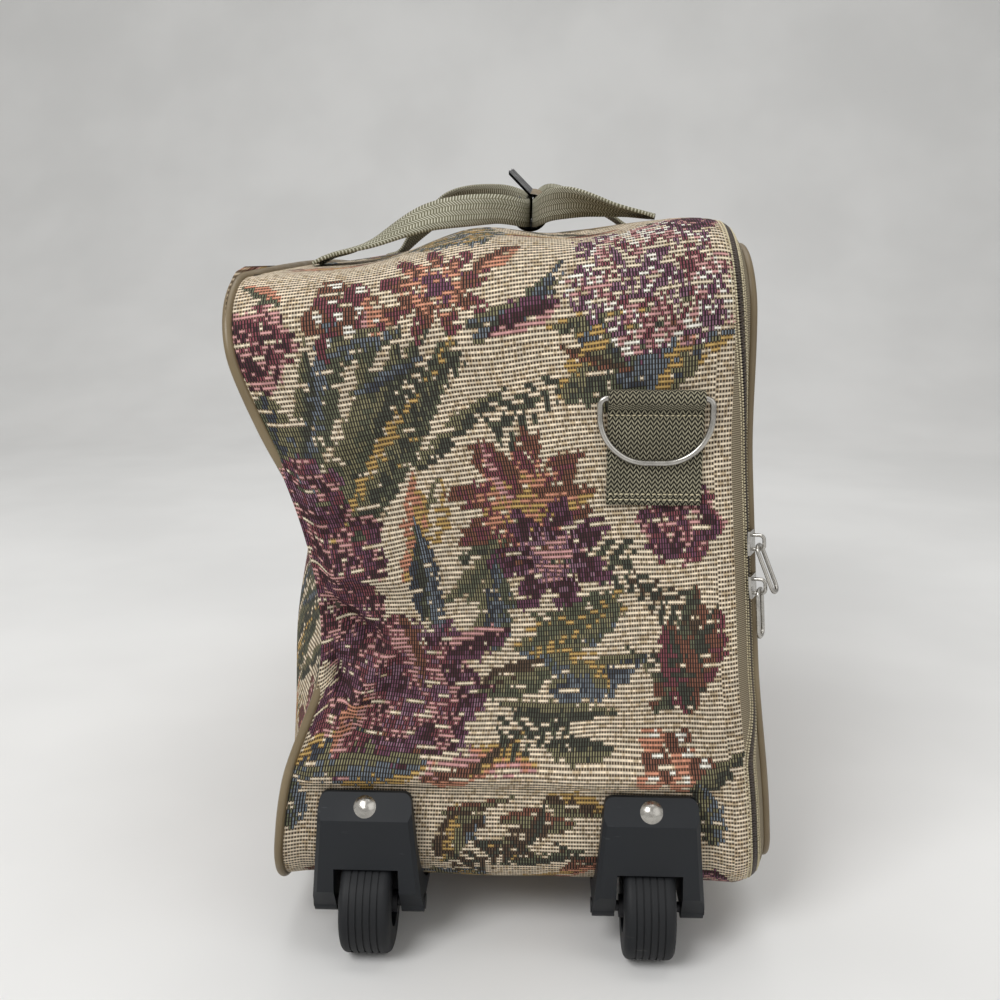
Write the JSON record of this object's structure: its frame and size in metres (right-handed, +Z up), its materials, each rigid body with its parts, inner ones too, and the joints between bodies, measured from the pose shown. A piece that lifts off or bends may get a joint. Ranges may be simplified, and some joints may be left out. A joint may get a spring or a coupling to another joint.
{
  "type": "rolling suitcase",
  "caption": "Soft floral tapestry suitcase on two end wheels, with a zip-round lid, webbing carry handles, D-rings and a telescopic pull handle",
  "frame": {"origin": "centre of the floor rectangle under the case, standing on its wheels and feet", "axes": "+Y from the wheel end to the pull handle end, +X to the zipped lid, +Z up"},
  "size_m": [0.2965, 0.592, 0.4656],
  "materials": {
    "tapestry": "woven floral tapestry",
    "webbing": "herringbone webbing",
    "piping_vinyl": "smooth vinyl piping",
    "zip_tape": "woven zip tape with a coil",
    "nickel": "polished nickel plate",
    "moulded_plastic": "moulded, lightly scuffed",
    "wheel_tread": "hard rubber, worn",
    "wheel_core": "moulded",
    "axle_steel": "plain steel",
    "tube_steel": "black painted tube",
    "tube_bright": "drawn bright tube",
    "bush_plastic": "moulded",
    "grip_plastic": "moulded, fine grain",
    "board": "pressed board",
    "wrap_vinyl": "vinyl with a black lining"
  },
  "bodies": {
    "bag": {"gusset": "tapestry", "tray": "tapestry", "left_panel": "tapestry", "left_piping": "piping_vinyl", "body_zip": "zip_tape", "base_board": "board", "left_housing": "moulded_plastic", "right_housing": "moulded_plastic", "left_axle": "axle_steel", "right_axle": "axle_steel", "rivets": "nickel", "left_outer_tube": "tube_steel", "right_outer_tube": "tube_steel", "left_guide_bush": "bush_plastic", "right_guide_bush": "bush_plastic", "front_bracket": "bush_plastic", "rear_bracket": "bush_plastic", "handle_socket": "moulded_plastic", "left_foot": "moulded_plastic", "right_foot": "moulded_plastic", "left_strap": "webbing", "right_strap": "webbing", "handle_wrap": "wrap_vinyl", "near_tab": "webbing", "far_tab": "webbing"},
    "lid": {"lid_panel": "tapestry", "lid_piping": "piping_vinyl", "lid_zip": "zip_tape"},
    "left_wheel": {"left_tyre": "wheel_tread", "left_hub": "wheel_core"},
    "right_wheel": {"right_tyre": "wheel_tread", "right_hub": "wheel_core"},
    "upper_zip_slider": {"upper_slider": "nickel"},
    "upper_zip_pull": {"upper_pull": "nickel"},
    "lower_zip_slider": {"lower_slider": "nickel"},
    "lower_zip_pull": {"lower_pull": "nickel"},
    "near_ring": {"near_d_ring": "nickel"},
    "far_ring": {"far_d_ring": "nickel"},
    "pull_handle": {"grip": "grip_plastic", "left_inner_tube": "tube_bright", "right_inner_tube": "tube_bright", "left_slide_plug": "bush_plastic", "right_slide_plug": "bush_plastic"}
  },
  "joints": [
    {"name": "lid_hinge", "type": "hinge", "parent": "bag", "child": "lid", "pos_m": [0.14513, 0, 0.04412], "axis": [0, 1, 0], "range_deg": [0, 95]},
    {"name": "left_wheel_spin", "type": "hinge", "parent": "bag", "child": "left_wheel", "pos_m": [-0.081, -0.267, 0.029], "axis": [1, 0, 0], "continuous": true},
    {"name": "right_wheel_spin", "type": "hinge", "parent": "bag", "child": "right_wheel", "pos_m": [0.081, -0.267, 0.029], "axis": [1, 0, 0], "continuous": true},
    {"name": "upper_slider_run", "type": "slide", "parent": "bag", "child": "upper_zip_slider", "axis": [-0.0767, 0, 0.9971], "range_m": [0, 0.1]},
    {"name": "lower_slider_run", "type": "slide", "parent": "bag", "child": "lower_zip_slider", "axis": [-0.0767, 0, 0.9971], "range_m": [-0.06, 0]},
    {"name": "upper_pull_swing", "type": "hinge", "parent": "upper_zip_slider", "child": "upper_zip_pull", "pos_m": [0.13577, -0.26105, 0.24544], "axis": [-0.4214, -0.9063, -0.0324], "range_deg": [0, 125]},
    {"name": "lower_pull_swing", "type": "hinge", "parent": "lower_zip_slider", "child": "lower_zip_pull", "pos_m": [0.13769, -0.26105, 0.22051], "axis": [-0.4214, -0.9063, -0.0324], "range_deg": [0, 60]},
    {"name": "near_ring_swing", "type": "hinge", "parent": "bag", "child": "near_ring", "pos_m": [0.077, -0.2751, 0.327], "axis": [-1, 0, 0], "range_deg": [0, 170]},
    {"name": "far_ring_swing", "type": "hinge", "parent": "bag", "child": "far_ring", "pos_m": [0.077, 0.2751, 0.327], "axis": [1, 0, 0], "range_deg": [0, 170]},
    {"name": "pull_handle_slide", "type": "slide", "parent": "bag", "child": "pull_handle", "axis": [0, 1, 0], "range_m": [0, 0.4]}
  ]
}
